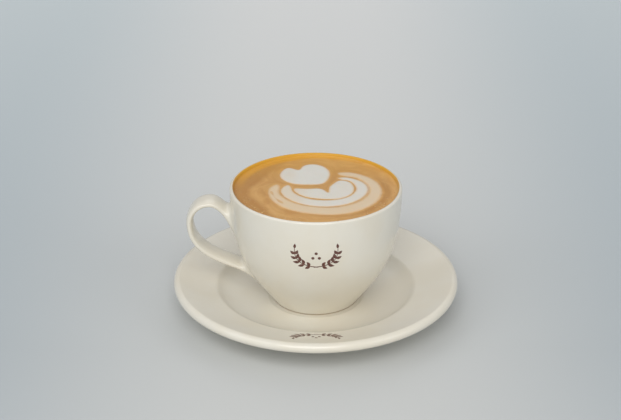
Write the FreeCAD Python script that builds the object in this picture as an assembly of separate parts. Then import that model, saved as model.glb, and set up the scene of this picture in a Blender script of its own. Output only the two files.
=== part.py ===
"""Milk coffee with poured foam art in a glazed stoneware cup on its saucer.

Millimetres, +Z up. The origin is the middle of the saucer's foot ring, on the
surface that the saucer stands on. The cup's handle points along -X.
Nodes: saucer, cup, drink, and the foam figure's pieces, which lie flush in
the top of the drink.
"""
import FreeCAD, Part
import math
import os

# ---------------------------------------------------------------- saucer
saucer_diameter = 160.0
saucer_height = 19.2          # table to the top of the lip
lip_bead_diameter = 5.4       # the rounded rim is a little thicker than the flange
lip_slope = 18.0              # degrees above level where the flange runs into the lip
saucer_wall = 4.3             # thickness, measured straight down
well_radius = 53.6            # where the well has turned up
well_level = 5.6              # the well's floor beside the cup's seat
well_rise = 6.3               # climb of the well to there
well_turn = 6.0               # how long the well's steepest stretch is
shoulder_slope = 32.0         # degrees above level between well and shoulder
shoulder_width = 3.6          # soft shoulder between well and flange
shoulder_rise = 1.75
flange_slope = 12.0           # degrees above level where the flange starts
saucer_foot_diameter = 93.0   # middle of the ring that the saucer stands on
saucer_foot_width = 3.2
saucer_hollow = 1.9           # underside's height inside the foot ring
seat_depth = 0.3              # shallow recess that locates the cup
seat_clearance = 0.9          # radial play of the cup's foot in it
seat_blend = 2.4              # width of the recess's soft edge

# ---------------------------------------------------------------- cup
cup_rim_diameter = 94.8
cup_height = 68.1
cup_foot_diameter = 48.4
cup_foot_width = 3.4          # foot ring, from its outside to the hollow
cup_foot_hollow = 1.6
cup_foot_round = 0.8
rim_thickness = 2.2
belly_wall = 4.9              # wall where the side turns in to the bottom
floor_thickness = 5.6         # foot to the inside of the bottom
floor_flat_radius = 12.0
wall_lean = 35.0              # degrees off upright where the wall leaves the foot
wall_foot_pull = 21.0         # how long the wall keeps that lean
wall_rim_pull = 40.5          # how long it stays upright below the rim
inner_rim_pull = 42.5
inner_floor_pull = 14.0

# ---------------------------------------------------------------- handle
handle_width = 14.0
handle_thickness = 3.9
handle_section_power = 2.5    # 2 is an oval, larger is squarer
upper_root_drop = 18.6        # below the rim, on the wall
lower_root_height = 18.3      # above the foot, on the wall
handle_crown_drop = 9.1       # rim to the middle of the strap at its highest
handle_crown_reach = 11.1     # from the rim's outside to below the crown
handle_outermost_drop = 20.9  # rim down to the outermost point
handle_reach = 22.5           # from the rim's outside to that point
upper_root_slope = 48.0       # degrees above level where the strap leaves
lower_root_slope = 19.0       # degrees below level where it comes back
upper_root_pull = 5.3         # how long the strap keeps these slopes
lower_root_pull = 21.5
root_depth = 5.0              # the strap starts this deep inside the wall
root_flare_width = 3.6        # growth of the strap where it meets the wall
root_flare_thickness = 1.2
root_flare_length = 9.0
root_fillet = 1.8             # round between strap and wall

# ---------------------------------------------------------------- drink
level_below_rim = 2.1         # crest of the rim to the drink beside the wall
crown_rise = 0.5              # the froth's middle stands this much higher
wall_climb = 0.5              # the froth clings this high to the wall
climb_width = 1.8
foam_depth = 0.8
figure_field = 45.2           # surface radius for which the outlines are given

# The foam figure seen from above, for that surface radius. Heart and inner
# petal are closed outlines; the other petals are bands: (x, y, half width).
HEART = [(-9.7, 25.7), (-14.7, 28.5), (-19.4, 22.6), (-18.7, 12.6), (-12.1, 5.9),
         (-4.0, 4.7), (3.0, 5.6), (7.2, 14.1), (6.6, 26.6), (-0.8, 33.8),
         (-7.2, 31.0)]
INNER_PETAL = [(6.6, -5.7), (3.6, -1.4), (-4.5, -0.8), (-11.9, -0.8), (-10.7, -5.7),
               (-4.6, -11.5), (5.0, -14.1), (14.7, -12.1), (20.3, -4.7), (20.7, 3.0),
               (18.1, 9.0), (13.7, 10.6), (9.7, 6.0), (7.4, 0.4)]
MIDDLE_PETAL = [(-15.7, 2.6, 1.6), (-16.1, -3.6, 3.1), (-11.7, -12.1, 3.6), (-3.4, -17.9, 3.8),
                (6.0, -19.3, 3.9), (15.5, -16.5, 3.5), (22.3, -9.9, 3.2), (25.3, -1.0, 3.2),
                (23.3, 7.6, 2.7), (18.5, 12.5, 1.9), (13.7, 13.7, 1.3)]
OUTER_PETAL = [(-21.9, 3.6, 1.5), (-23.1, -4.0, 2.7), (-19.9, -14.5, 3.5), (-12.1, -23.2, 4.0),
               (-0.6, -27.8, 4.2), (12.1, -28.0, 4.3), (23.3, -22.0, 4.0), (30.9, -11.3, 3.5),
               (32.6, 0.6, 3.2), (29.2, 10.8, 3.0), (22.1, 17.9, 2.7), (14.7, 20.1, 2.0)]

# ---------------------------------------------------------------- derived
saucer_radius = saucer_diameter / 2
lip_radius = lip_bead_diameter / 2
seat_level = well_level - seat_depth
rim_radius = cup_rim_diameter / 2
foot_radius = cup_foot_diameter / 2
seat_radius = foot_radius + seat_clearance
rim_round = rim_thickness / 2
rim_centre = (rim_radius - rim_round, cup_height - rim_round)


def polar(length, degrees):
    """The (r, z) step of a given length at an angle above level."""
    a = math.radians(degrees)
    return (length * math.cos(a), length * math.sin(a))


def add(p, q):
    return (p[0] + q[0], p[1] + q[1])


def at(p, lift=0.0):
    """A profile point (r, z) in space, in the XZ plane."""
    return FreeCAD.Vector(p[0], 0, p[1] + lift)


def line(p, q):
    return Part.LineSegment(at(p), at(q)).toShape()


def bezier(*poles):
    curve = Part.BezierCurve()
    curve.setPoles([at(p) for p in poles])
    return curve.toShape()


def arc(centre, radius, start, middle, end):
    """Arc through three angles, in degrees, about a centre."""
    three = [at(add(centre, polar(radius, a))) for a in (start, middle, end)]
    return Part.Arc(*three).toShape()


def turned(edges, lift=0.0):
    """Solid of revolution about Z of a closed profile."""
    face = Part.Face(Part.Wire(edges))
    solid = face.revolve(FreeCAD.Vector(), FreeCAD.Vector(0, 0, 1), 360)
    solid.translate(FreeCAD.Vector(0, 0, lift))
    return solid


# ---------------------------------------------------------------- saucer
def make_saucer():
    """Seat, shallow well, soft shoulder, rising flange and rounded lip over a foot ring."""
    bead = (saucer_radius - lip_radius, saucer_height - lip_radius)
    seat_edge = (seat_radius, seat_level)
    well_start = (seat_radius + seat_blend, well_level)
    well_end = (well_radius, well_level + well_rise)
    shoulder = add(well_end, (shoulder_width, shoulder_rise))
    flange_end = add(bead, polar(lip_radius, 90 + lip_slope))
    well_pull = (well_end[0] - well_start[0]) / 3
    shoulder_pull = shoulder_width * 0.45
    flange_pull = (flange_end[0] - shoulder[0]) / 3

    # the underside follows the top one wall lower
    bead_out = add(bead, polar(lip_radius, -100))
    under_flange = (bead[0] - 2 * lip_radius, shoulder[1] * 0.25 + flange_end[1] * 0.75 - saucer_wall)
    under_shoulder = (shoulder[0], shoulder[1] - saucer_wall)
    foot_outer = saucer_foot_diameter / 2 + saucer_foot_width / 2
    foot_inner = saucer_foot_diameter / 2 - saucer_foot_width / 2
    foot_round = saucer_foot_width / 4
    foot_top = (foot_outer + foot_round, well_level - seat_depth)
    hollow_edge = (foot_inner - foot_round, saucer_hollow)

    return turned([
        line((0, seat_level), seat_edge),
        bezier(seat_edge, add(seat_edge, (seat_blend / 2, 0)), add(well_start, (-seat_blend / 2, 0)), well_start),
        bezier(well_start, add(well_start, (well_pull, 0)),
               add(well_end, polar(-well_turn, shoulder_slope)), well_end),
        bezier(well_end, add(well_end, polar(shoulder_pull, shoulder_slope)),
               add(shoulder, polar(-shoulder_pull, flange_slope)), shoulder),
        bezier(shoulder, add(shoulder, polar(flange_pull, flange_slope)),
               add(flange_end, polar(-flange_pull, lip_slope)), flange_end),
        arc(bead, lip_radius, 90 + lip_slope, 10, -100),
        bezier(bead_out, add(bead_out, (-lip_radius, 0)),
               add(under_flange, polar(lip_radius, lip_slope)), under_flange),
        bezier(under_flange, add(under_flange, polar(-flange_pull, lip_slope)),
               add(under_shoulder, polar(flange_pull, flange_slope)), under_shoulder),
        bezier(under_shoulder, add(under_shoulder, polar(-shoulder_width, flange_slope)),
               add(foot_top, (foot_round / 2, 2 * foot_round)), foot_top),
        line(foot_top, (foot_outer, foot_round)),
        bezier((foot_outer, foot_round), (foot_outer, 0), (foot_outer - foot_round, 0)),
        line((foot_outer - foot_round, 0), (foot_inner + foot_round, 0)),
        bezier((foot_inner + foot_round, 0), (foot_inner, 0), (foot_inner, foot_round)),
        bezier((foot_inner, foot_round), (foot_inner, saucer_hollow), hollow_edge),
        line(hollow_edge, (0, saucer_hollow)),
        line((0, saucer_hollow), (0, seat_level)),
    ])


# ---------------------------------------------------------------- cup
def outer_poles():
    """Bezier poles of the outside, foot to rim: leaning out, then upright."""
    start = (foot_radius, cup_foot_round)
    lean = polar(wall_foot_pull, 90 - wall_lean)
    end = (rim_radius, rim_centre[1])
    return [start, add(start, lean), add(end, (0, -wall_rim_pull)), end]


def inner_poles():
    """Bezier poles of the inside, level floor to rim."""
    end = (rim_radius - rim_thickness, rim_centre[1])
    belly = (rim_radius - belly_wall, end[1] - inner_rim_pull)
    start = (floor_flat_radius, floor_thickness)
    return [start, (start[0] + inner_floor_pull, start[1]), belly, end]


def core_poles():
    """Halfway between outside and inside, through the middle of the wall."""
    pairs = zip(outer_poles(), inner_poles())
    return [((a[0] + b[0]) / 2, (a[1] + b[1]) / 2) for a, b in pairs]


def wall_point(height):
    """Point of the outside wall at a height above the foot, by halving."""
    curve = Part.BezierCurve()
    curve.setPoles([at(p) for p in outer_poles()])
    low, high = 0.0, 1.0
    for _ in range(40):
        middle = (low + high) / 2
        if curve.value(middle).z < height:
            low = middle
        else:
            high = middle
    return (curve.value(low).x, height)


def make_shell():
    """The turned body: foot ring, leaning side, upright rim, rounded edge."""
    hollow_radius = foot_radius - cup_foot_width
    outside = outer_poles()
    inside = inner_poles()
    foot_flat = (foot_radius - cup_foot_round, 0)
    return turned([
        line((0, cup_foot_hollow), (hollow_radius - cup_foot_hollow, cup_foot_hollow)),
        bezier((hollow_radius - cup_foot_hollow, cup_foot_hollow),
               (hollow_radius, cup_foot_hollow), (hollow_radius, cup_foot_round)),
        bezier((hollow_radius, cup_foot_round), (hollow_radius, 0), (hollow_radius + cup_foot_round, 0)),
        line((hollow_radius + cup_foot_round, 0), foot_flat),
        bezier(foot_flat, (foot_radius, 0), outside[0]),
        bezier(*outside),
        arc(rim_centre, rim_round, 0, 90, 180),
        bezier(*reversed(inside)),
        line(inside[0], (0, floor_thickness)),
        line((0, floor_thickness), (0, cup_foot_hollow)),
    ])


def handle_stretches():
    """Three Bezier stretches of the strap's middle line, as (distance, height).

    Out of the upper root and up to the crown, round the ear to the outermost
    point, and down along the long low sweep to the lower root.
    """
    upper_root = wall_point(cup_height - upper_root_drop)
    lower_root = wall_point(lower_root_height)
    upper = add(upper_root, polar(-root_depth, upper_root_slope))
    lower = add(lower_root, polar(-root_depth, lower_root_slope))
    crown = (rim_radius + handle_crown_reach, cup_height - handle_crown_drop)
    outer = (rim_radius + handle_reach, cup_height - handle_outermost_drop)
    ear_width = outer[0] - crown[0]
    ear_drop = crown[1] - outer[1]
    quarter = 0.5523          # pull of a Bezier quarter ellipse
    return [
        [upper, add(upper_root, polar(upper_root_pull, upper_root_slope)),
         add(crown, (-quarter * handle_crown_reach * 0.8, 0)), crown],
        [crown, add(crown, (quarter * ear_width, 0)), add(outer, (0, quarter * ear_drop)), outer],
        [outer, add(outer, (0, -(outer[1] - lower[1]) * 0.54)),
         add(lower_root, polar(lower_root_pull, lower_root_slope)), lower],
    ]


def strap_section(place, heading, width, thickness):
    """Rounded strap section, square to the path: a superellipse."""
    outward = FreeCAD.Vector(-heading.z, 0, heading.x)
    across = FreeCAD.Vector(0, 1, 0)
    points = []
    count = 20
    for k in range(count):
        a = 2 * math.pi * k / count
        c, s = math.cos(a), math.sin(a)
        total = abs(c) ** handle_section_power + abs(s) ** handle_section_power
        size = total ** (-1 / handle_section_power)
        points.append(place + across * (width / 2 * c * size) + outward * (thickness / 2 * s * size))
    curve = Part.BSplineCurve()
    curve.interpolate(Points=points, PeriodicFlag=True)
    return Part.Wire(curve.toShape())


def make_handle():
    """Ear-shaped strap handle, flared where it grows out of the wall."""
    stations = []
    for stretch, steps in zip(handle_stretches(), (6, 6, 11)):
        curve = Part.BezierCurve()
        curve.setPoles([FreeCAD.Vector(-r, 0, z) for r, z in stretch])
        for k in range(steps):
            stations.append((curve, k / steps))
    stations.append((curve, 1.0))

    places = [curve.value(u) for curve, u in stations]
    run = [0.0]
    for a, b in zip(places, places[1:]):
        run.append(run[-1] + a.distanceToPoint(b))
    sections = []
    for (curve, u), place, s in zip(stations, places, run):
        outside_wall = max(0.0, min(s, run[-1] - s) - root_depth)
        flare = max(0.0, 1 - outside_wall / root_flare_length) ** 2
        sections.append(strap_section(place, curve.tangent(u)[0], handle_width + root_flare_width * flare,
                                      handle_thickness + root_flare_thickness * flare))
    return Part.makeLoft(sections, True, False)


def make_core():
    """Turned solid that fills the cup out to the middle of its wall."""
    core = core_poles()
    base = (0, core[0][1])
    top = (0, rim_centre[1])
    return turned([line(base, core[0]), bezier(*core), line(rim_centre, top), line(top, base)])


def is_root(edge):
    """True for the seams where the strap runs into the wall: on the handle's
    side, across the strap, and short of going round the cup."""
    box = edge.BoundBox
    return box.XMax < 0 and handle_width / 2 < box.YLength < rim_radius and box.XLength < handle_reach


def make_cup():
    """Turned shell with the handle let into its wall."""
    cup = make_shell().fuse(make_handle().cut(make_core()))
    cup = cup.makeFillet(root_fillet, [edge for edge in cup.Edges if is_root(edge)])
    cup.translate(FreeCAD.Vector(0, 0, seat_level))
    return cup


# ---------------------------------------------------------------- drink
def make_drink():
    """Coffee nearly to the brim, its froth a little crowned and clinging to the wall."""
    surface = cup_height - level_below_rim
    inside_radius = rim_radius - rim_thickness
    contact = (inside_radius, surface + wall_climb)
    edge = (inside_radius - climb_width, surface)
    crown = (0, surface + crown_rise)
    level = turned([
        line((0, 0), (rim_centre[0], 0)),
        line((rim_centre[0], 0), (rim_centre[0], contact[1])),
        line((rim_centre[0], contact[1]), contact),
        bezier(contact, add(edge, (climb_width * 0.6, 0)), edge),
        bezier(edge, (edge[0] * 0.7, edge[1]), (edge[0] * 0.4, crown[1]), crown),
        line(crown, (0, 0)),
    ])
    drink = make_core().cut(make_shell()).common(level)
    drink.translate(FreeCAD.Vector(0, 0, seat_level))
    return drink


def outline(points, scale):
    """Closed smooth curve through the points, in plan."""
    curve = Part.BSplineCurve()
    curve.interpolate(Points=[FreeCAD.Vector(x * scale, y * scale, 0) for x, y in points], PeriodicFlag=True)
    return Part.Wire(curve.toShape())


def column(wire):
    """Upright prism over a plan outline, taller than the whole cup."""
    return Part.Face(wire).extrude(FreeCAD.Vector(0, 0, 2 * (seat_level + cup_height)))


def band(stations):
    """Outline points of a band with rounded ends along (x, y, half width)."""
    centres = [FreeCAD.Vector(x, y, 0) for x, y, _ in stations]
    halves = [half for _, _, half in stations]
    last = len(centres) - 1
    headings = [(centres[min(k + 1, last)] - centres[max(k - 1, 0)]).normalize() for k in range(last + 1)]
    sides = [FreeCAD.Vector(-h.y, h.x, 0) for h in headings]
    left = [c + n * w for c, n, w in zip(centres, sides, halves)]
    right = [c - n * w for c, n, w in zip(centres, sides, halves)]
    tail = centres[0] - headings[0] * halves[0]
    tip = centres[last] + headings[last] * halves[last]
    return [(p.x, p.y) for p in [tail] + left + [tip] + right[::-1]]


def make_foam(drink):
    """Foam pieces let into the drink's top: a heart over three nested petals."""
    scale = (rim_radius - rim_thickness) / figure_field
    skin = drink.cut(drink.translated(FreeCAD.Vector(0, 0, -foam_depth)))
    figure = {
        "foam_heart": HEART,
        "foam_petal_inner": INNER_PETAL,
        "foam_petal_middle": band(MIDDLE_PETAL),
        "foam_petal_outer": band(OUTER_PETAL),
    }
    return {name: column(outline(points, scale)).common(skin) for name, points in figure.items()}


# ---------------------------------------------------------------- parts
drink = make_drink()
foam = make_foam(drink)
for piece in foam.values():
    drink = drink.cut(piece)
nodes = {"saucer": make_saucer(), "cup": make_cup(), "drink": drink, **foam}

os.makedirs("parts", exist_ok=True)
for name, shape in nodes.items():
    shape.exportStep("parts/" + name + ".step")
    box = shape.optimalBoundingBox()
    print("%-18s solids %d valid %s volume %.1f cm3  x %.1f..%.1f  y %.1f..%.1f  z %.1f..%.1f" % (
        name, len(shape.Solids), shape.isValid(), shape.Volume / 1000,
        box.XMin, box.XMax, box.YMin, box.YMax, box.ZMin, box.ZMax))
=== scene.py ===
# %% [markdown]
# # Milk coffee with poured foam art, in a glazed cup on its saucer
#
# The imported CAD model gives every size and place. This lesson builds the
# pieces that are looked at, in the same frame, and gives each its finish:
# ivory glaze on stoneware, golden crema, white milk foam, and a small brown
# printed sprig. First the CAD model is loaded, and its box is kept.

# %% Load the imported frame
import math
import bpy
import numpy as np
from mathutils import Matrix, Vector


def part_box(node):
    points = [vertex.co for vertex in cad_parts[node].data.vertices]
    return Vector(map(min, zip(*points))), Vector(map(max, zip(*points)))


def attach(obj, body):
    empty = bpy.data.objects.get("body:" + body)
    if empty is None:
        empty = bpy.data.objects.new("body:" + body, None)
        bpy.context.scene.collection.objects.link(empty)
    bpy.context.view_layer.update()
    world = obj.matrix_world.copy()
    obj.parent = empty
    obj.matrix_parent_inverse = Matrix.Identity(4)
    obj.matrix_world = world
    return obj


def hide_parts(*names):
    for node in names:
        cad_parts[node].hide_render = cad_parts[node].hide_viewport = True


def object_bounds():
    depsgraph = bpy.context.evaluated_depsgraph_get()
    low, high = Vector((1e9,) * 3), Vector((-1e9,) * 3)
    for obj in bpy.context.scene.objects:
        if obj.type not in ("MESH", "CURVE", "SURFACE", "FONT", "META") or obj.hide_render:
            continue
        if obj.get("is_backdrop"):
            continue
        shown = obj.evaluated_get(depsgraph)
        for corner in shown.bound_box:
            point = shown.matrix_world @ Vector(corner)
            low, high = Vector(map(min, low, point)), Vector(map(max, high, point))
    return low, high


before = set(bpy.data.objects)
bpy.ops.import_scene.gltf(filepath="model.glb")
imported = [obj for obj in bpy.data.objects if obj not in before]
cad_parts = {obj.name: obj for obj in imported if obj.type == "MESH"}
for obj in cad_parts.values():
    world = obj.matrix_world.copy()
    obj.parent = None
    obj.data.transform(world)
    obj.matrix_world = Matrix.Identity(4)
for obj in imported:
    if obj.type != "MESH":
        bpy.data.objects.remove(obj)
cad_box = [list(map(float, corner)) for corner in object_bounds()]
MM = 0.001
print("CAD nodes:", ", ".join(sorted(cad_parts)))

# %% [markdown]
# ## Sizes from the frame
#
# The boxes of the CAD nodes give the sizes that drive this scene: how wide
# saucer and rim are, where the cup stands, and how high the drink is. They
# are rounded to a tenth, because the box of a faceted mesh is a hair too
# small. Lengths are in millimetres until a mesh is made.

# %% Sizes
def node_box(node):
    """Lowest and highest corner of a CAD node in millimetres, to a tenth."""
    return [[round(v / MM, 1) for v in corner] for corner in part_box(node)]


saucer_radius, _, saucer_top = node_box("saucer")[1]
seat = node_box("cup")[0][2]
_, rim_radius, rim_top = node_box("cup")[1]
cup_floor, crown_top = node_box("drink")[0][2], node_box("drink")[1][2]
print("saucer radius and height", saucer_radius, saucer_top, "and the cup's seat", seat)
print("rim radius and height", rim_radius, rim_top, "and the drink from", cup_floor, "to", crown_top)

# %% [markdown]
# ## Curves that draw a potter's profile
#
# A turned pot is one profile carried round an axis, so it is as good as its
# profile. Bezier curves keep the long slack bends of a pulled wall, and arcs
# make the rolled edges.

# %% Profile curves
def bezier(poles, steps=24):
    """Bezier curve: each pole times its Bernstein polynomial of t, summed."""
    t = np.linspace(0, 1, steps + 1)[:, None]
    poles = np.asarray(poles, float)
    last = len(poles) - 1
    return sum(math.comb(last, k) * t**k * (1 - t)**(last - k) * pole for k, pole in enumerate(poles))


def arc(centre, radius, start, end, steps=24):
    """Arc: the centre plus the radius times the cosine and sine of the angle."""
    a = np.radians(np.linspace(start, end, steps + 1))
    return np.column_stack([centre[0] + radius * np.cos(a), centre[1] + radius * np.sin(a)])


def straight(p, q, steps=8):
    """Straight run: p plus t times the way from p to q."""
    return bezier([p, q], steps)


def slid(p, length, degrees):
    """Point p moved by a length at an angle above level."""
    a = math.radians(degrees)
    return (p[0] + length * math.cos(a), p[1] + length * math.sin(a))


def heading_and_side(steps):
    """Steps made one long, and the same turned left by a right angle."""
    heading = steps / np.linalg.norm(steps, axis=1)[:, None]
    return heading, np.column_stack([-heading[:, 1], heading[:, 0]])


def strung(*stretches):
    """One profile from stretches that meet end to end, shared points dropped."""
    return np.vstack([stretches[0]] + [stretch[1:] for stretch in stretches[1:]])


print("an arc of 24 steps has", len(arc((0, 0), 1, 0, 90)), "points")

# %% [markdown]
# ## From a grid to a closed mesh
#
# Every piece is a grid: rows along the piece, columns round it. The columns
# join up in a ring, and a fan of triangles to one middle point closes each
# end. A negative signed volume says that all faces have to be turned over.

# %% Grid to mesh
def closed_faces(rows, around):
    """Quads (i, j), (i, j+1), (i+1, j+1), (i+1, j) and two fans of triangles."""
    i, j = np.meshgrid(np.arange(rows - 1), np.arange(around), indexing="ij")
    k = (j + 1) % around
    quads = np.stack([i * around + j, i * around + k, (i + 1) * around + k, (i + 1) * around + j], -1)
    j = np.arange(around)
    k = (j + 1) % around
    first, last, top = rows * around, rows * around + 1, (rows - 1) * around
    start_fan = np.column_stack([j * 0 + first, k, j])
    end_fan = np.column_stack([j * 0 + last, top + j, top + k])
    return quads.reshape(-1, 4), np.vstack([start_fan, end_fan])


def volume_of(points, quads, fans):
    """Signed volume: a sixth of the triple products of all its triangles."""
    triangles = np.vstack([quads[:, [0, 1, 2]], quads[:, [0, 2, 3]], fans])
    a, b, c = (points[triangles[:, n]] for n in range(3))
    return float((a * np.cross(b, c)).sum() / 6)


print("3 rows of 4 close with", len(closed_faces(3, 4)[1]), "triangles")

# %% [markdown]
# ## A piece of the object
#
# A piece is one mesh from one or more closed grids, shaded smooth. It takes a
# finish and a slot, and rides on the body that carries it. Its place is in
# its mesh, so the object stays at the origin.

# %% Pieces
def linked(name, data):
    """New object with this data, linked into the scene."""
    made = bpy.data.objects.new(name, data)
    bpy.context.scene.collection.objects.link(made)
    return made


def piece(name, parts, finish):
    """Mesh object from (grid, first end, last end) parts, turned outwards."""
    points, faces, base, volume = [], [], 0, 0.0
    for grid, start, end in parts:
        rows, around, _ = grid.shape
        block = np.vstack([grid.reshape(-1, 3), [start], [end]])
        quads, fans = closed_faces(rows, around)
        here = volume_of(block, quads, fans)
        if here < 0:
            quads, fans = quads[:, ::-1], fans[:, ::-1]
        faces += (quads + base).tolist() + (fans + base).tolist()
        points.append(block)
        base += len(block)
        volume += abs(here)
    mesh = bpy.data.meshes.new(name)
    mesh.from_pydata((np.vstack(points) * MM).tolist(), [], faces)
    mesh.polygons.foreach_set("use_smooth", np.ones(len(mesh.polygons), bool))
    mesh.materials.append(finish)
    mesh.update()
    made = linked(name, mesh)
    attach(made, "root")
    print(name, "has", len(faces), "faces and holds", round(volume), "mm3")
    return made


def angles_round(count):
    """Angles once round in even steps, the first not repeated at the end."""
    return np.linspace(0, 2 * np.pi, count, endpoint=False)


def placed(r, a, z):
    """Points (r cos a, r sin a, z) from radius, angle and height."""
    return np.stack(np.broadcast_arrays(r * np.cos(a), r * np.sin(a), z), -1)


def turned(profile, around=256):
    """Turned surface: each point (r, z) of the profile at every angle."""
    return placed(profile[:, :1], angles_round(around), profile[:, 1:])


def turned_part(profile, around=256):
    """Turned grid whose first and last profile points are on the axis."""
    return turned(profile[1:-1], around), (0, 0, profile[0, 1]), (0, 0, profile[-1, 1])


print("a cone of 9 points turns into a grid of", turned_part(straight((0, 0), (5, 5)))[0].shape)

# %% [markdown]
# ## Node trees in a few words
#
# A finish is a small graph of nodes. These helpers add a node, set its plain
# values and join its inputs to other nodes, so that each finish reads as a
# list of what it is made of.

# %% Material helpers
def plug(tree, socket, value):
    """Joins a socket to another node's output, or sets it to a plain value."""
    if isinstance(value, bpy.types.NodeSocket):
        tree.links.new(value, socket)
    elif value is not None:
        socket.default_value = value


def add(tree, kind, *values, out=0, **settings):
    """New node of a kind; values go to its inputs in order, None skips one."""
    node = tree.nodes.new(kind)
    for key, value in settings.items():
        setattr(node, key, value)
    for socket, value in zip(node.inputs, values):
        plug(tree, socket, value)
    return node.outputs[out]


def fill(tree, node, values):
    """Gives a node's inputs their values, each found by name or by number."""
    for key, value in values.items():
        plug(tree, node.inputs[key], value)


def new_finish(name, plain):
    """Material, its tree, the place on the object, and its surface."""
    finish = bpy.data.materials.new(name)
    finish.use_nodes = True
    tree = finish.node_tree
    tree.nodes.clear()
    output = tree.nodes.new("ShaderNodeOutputMaterial")
    surface = tree.nodes.new("ShaderNodeBsdfPrincipled")
    tree.links.new(surface.outputs[0], output.inputs[0])
    fill(tree, surface, plain)
    return finish, tree, add(tree, "ShaderNodeTexCoord", out=3), surface


def dressed(tree, surface, colour, roughness, normal):
    """Gives the surface its colour, its roughness and its relief."""
    fill(tree, surface, {"Base Color": colour, "Roughness": roughness, "Normal": normal})


def maths(tree, operation, a, b=None):
    """One sum of a and b, such as ADD or MULTIPLY."""
    return add(tree, "ShaderNodeMath", a, b, operation=operation)


def coordinates(tree, vector):
    """The three numbers of a vector: x, y and z."""
    return add(tree, "ShaderNodeSeparateXYZ", vector).node.outputs


def ramp(tree, value, low, high, start=0.0, end=1.0):
    """Smooth step: start below low, end above high, an S curve between."""
    return add(tree, "ShaderNodeMapRange", value, low, high, start, end, interpolation_type="SMOOTHSTEP")


def relief(tree, height, distance, strength=1.0, before=None):
    """Bump from a height, with the distance in metres that 1 stands for."""
    node = tree.nodes.new("ShaderNodeBump")
    fill(tree, node, {"Strength": strength, "Distance": distance, "Height": height, "Normal": before})
    return node.outputs[0]


print("a quarter along, a smooth step is at", 3 * 0.25**2 - 2 * 0.25**3)

# %% [markdown]
# ## Colours and patterns
#
# A colour is written as the three numbers that a screen shows, and changed to
# the linear light that Blender counts in. A mix of two follows a pattern,
# mostly cloudy noise.

# %% Colour helpers
def tone(red, green, blue):
    """Linear colour of an 8-bit screen colour, by the usual 2.4 power curve."""
    c = np.array([red, green, blue]) / 255
    linear = np.where(c <= 0.04045, c / 12.92, ((c + 0.055) / 1.055) ** 2.4)
    return (*linear.tolist(), 1.0)


def blended(tree, amount, a, b):
    """Colour a turned into colour b by an amount from 0 to 1."""
    node = tree.nodes.new("ShaderNodeMix")
    node.data_type = "RGBA"
    fill(tree, node, {0: amount, 6: a, 7: b})
    return node.outputs[2]


def noise(tree, where, scale, detail=2.0, roughness=0.5, distortion=0.0):
    """Cloudy noise from 0 to 1, its lumps 1/scale across."""
    node = tree.nodes.new("ShaderNodeTexNoise")
    fill(tree, node, {"Vector": where, "Scale": scale, "Detail": detail, "Roughness": roughness,
                      "Distortion": distortion})
    return node.outputs["Fac"]


print("ivory as linear colour:", [round(v, 3) for v in tone(226, 220, 205)[:3]])

# %% [markdown]
# ## Ivory glaze
#
# Hotel ware is stoneware under a clear gloss glaze. It looks fired and not
# plastic by a sharp reflection on top of a softer one, slow waves and a fine
# orange peel, and a colour that drifts a little. The foot ring is wiped bare
# before firing, so it is sandy and matt. A dark line just above it is painted
# shade where the foot meets what it stands on.

# %% Glaze
ivory_cool, ivory_warm, cream_cloud = tone(229, 225, 213), tone(227, 221, 206), tone(214, 203, 180)
iron_speck, painted_contact_shade = tone(150, 125, 92), tone(128, 108, 82)
biscuit_dark, biscuit_pale = tone(205, 190, 163), tone(224, 212, 190)
bare_height, bare_end = 0.35, 0.55
contact_shade_height, contact_shade_end = 0.75, 1.15


def glaze_colour(tree, place, height, foot_level):
    """Ivory that drifts, clouds and specks, with painted shade as a dark line above the foot."""
    drift = ramp(tree, noise(tree, place, 34, 3), 0.35, 0.65)
    cloud = noise(tree, place, 150, 4, 0.6)
    speck = ramp(tree, noise(tree, place, 900, 1), 0.80, 0.83)
    ivory = blended(tree, drift, ivory_cool, ivory_warm)
    ivory = blended(tree, maths(tree, "MULTIPLY", cloud, 0.06), ivory, cream_cloud)
    ivory = blended(tree, maths(tree, "MULTIPLY", speck, 0.30), ivory, iron_speck)
    # Painted shade: a dark line just above the foot, where it meets what it stands on
    low, high = (foot_level + contact_shade_height) * MM, (foot_level + contact_shade_end) * MM
    return blended(tree, ramp(tree, height, low, high, 0.85, 0.0), ivory, painted_contact_shade)


def glaze(name, foot_level):
    """Glaze above the bare foot, whose top fades out over a fifth of a mm."""
    plain = {"IOR": 1.52, "Coat Weight": 0.30, "Coat Roughness": 0.12}
    finish, tree, place, surface = new_finish(name, plain)
    height = coordinates(tree, place)[2]
    low, high = (foot_level + bare_height) * MM, (foot_level + bare_end) * MM
    bare = ramp(tree, height, low, high, 1.0, 0.0)
    grain = noise(tree, place, 2600, 3, 0.7)
    biscuit = blended(tree, grain, biscuit_dark, biscuit_pale)
    colour = blended(tree, bare, glaze_colour(tree, place, height, foot_level), biscuit)
    gloss = ramp(tree, noise(tree, place, 40, 1), 0.3, 0.7, 0.20, 0.26)
    rough = add(tree, "ShaderNodeMix", bare, None, gloss, 0.75)
    waves = relief(tree, noise(tree, place, 55, 0), 0.0003, 0.16)
    peel = relief(tree, noise(tree, place, 650, 1), 0.00004, 0.14, waves)
    sandy = relief(tree, grain, 0.00008, maths(tree, "MULTIPLY", bare, 0.8), peel)
    dressed(tree, surface, colour, rough, sandy)
    print("finish", name, "with a bare foot below", round(foot_level + bare_height, 2), "mm")
    return finish


saucer_glaze = glaze("saucer_glaze", 0.0)
cup_glaze = glaze("cup_glaze", seat)

# %% [markdown]
# ## The saucer
#
# The saucer has a flat seat, a shallow well that turns up to a soft shoulder,
# and a flange that rises straight into a thick rounded lip. Underneath, a
# foot ring lifts it off the table. A Screw modifier could lathe it, but one
# array can hold the whole surface. Slopes are degrees above level.

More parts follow.
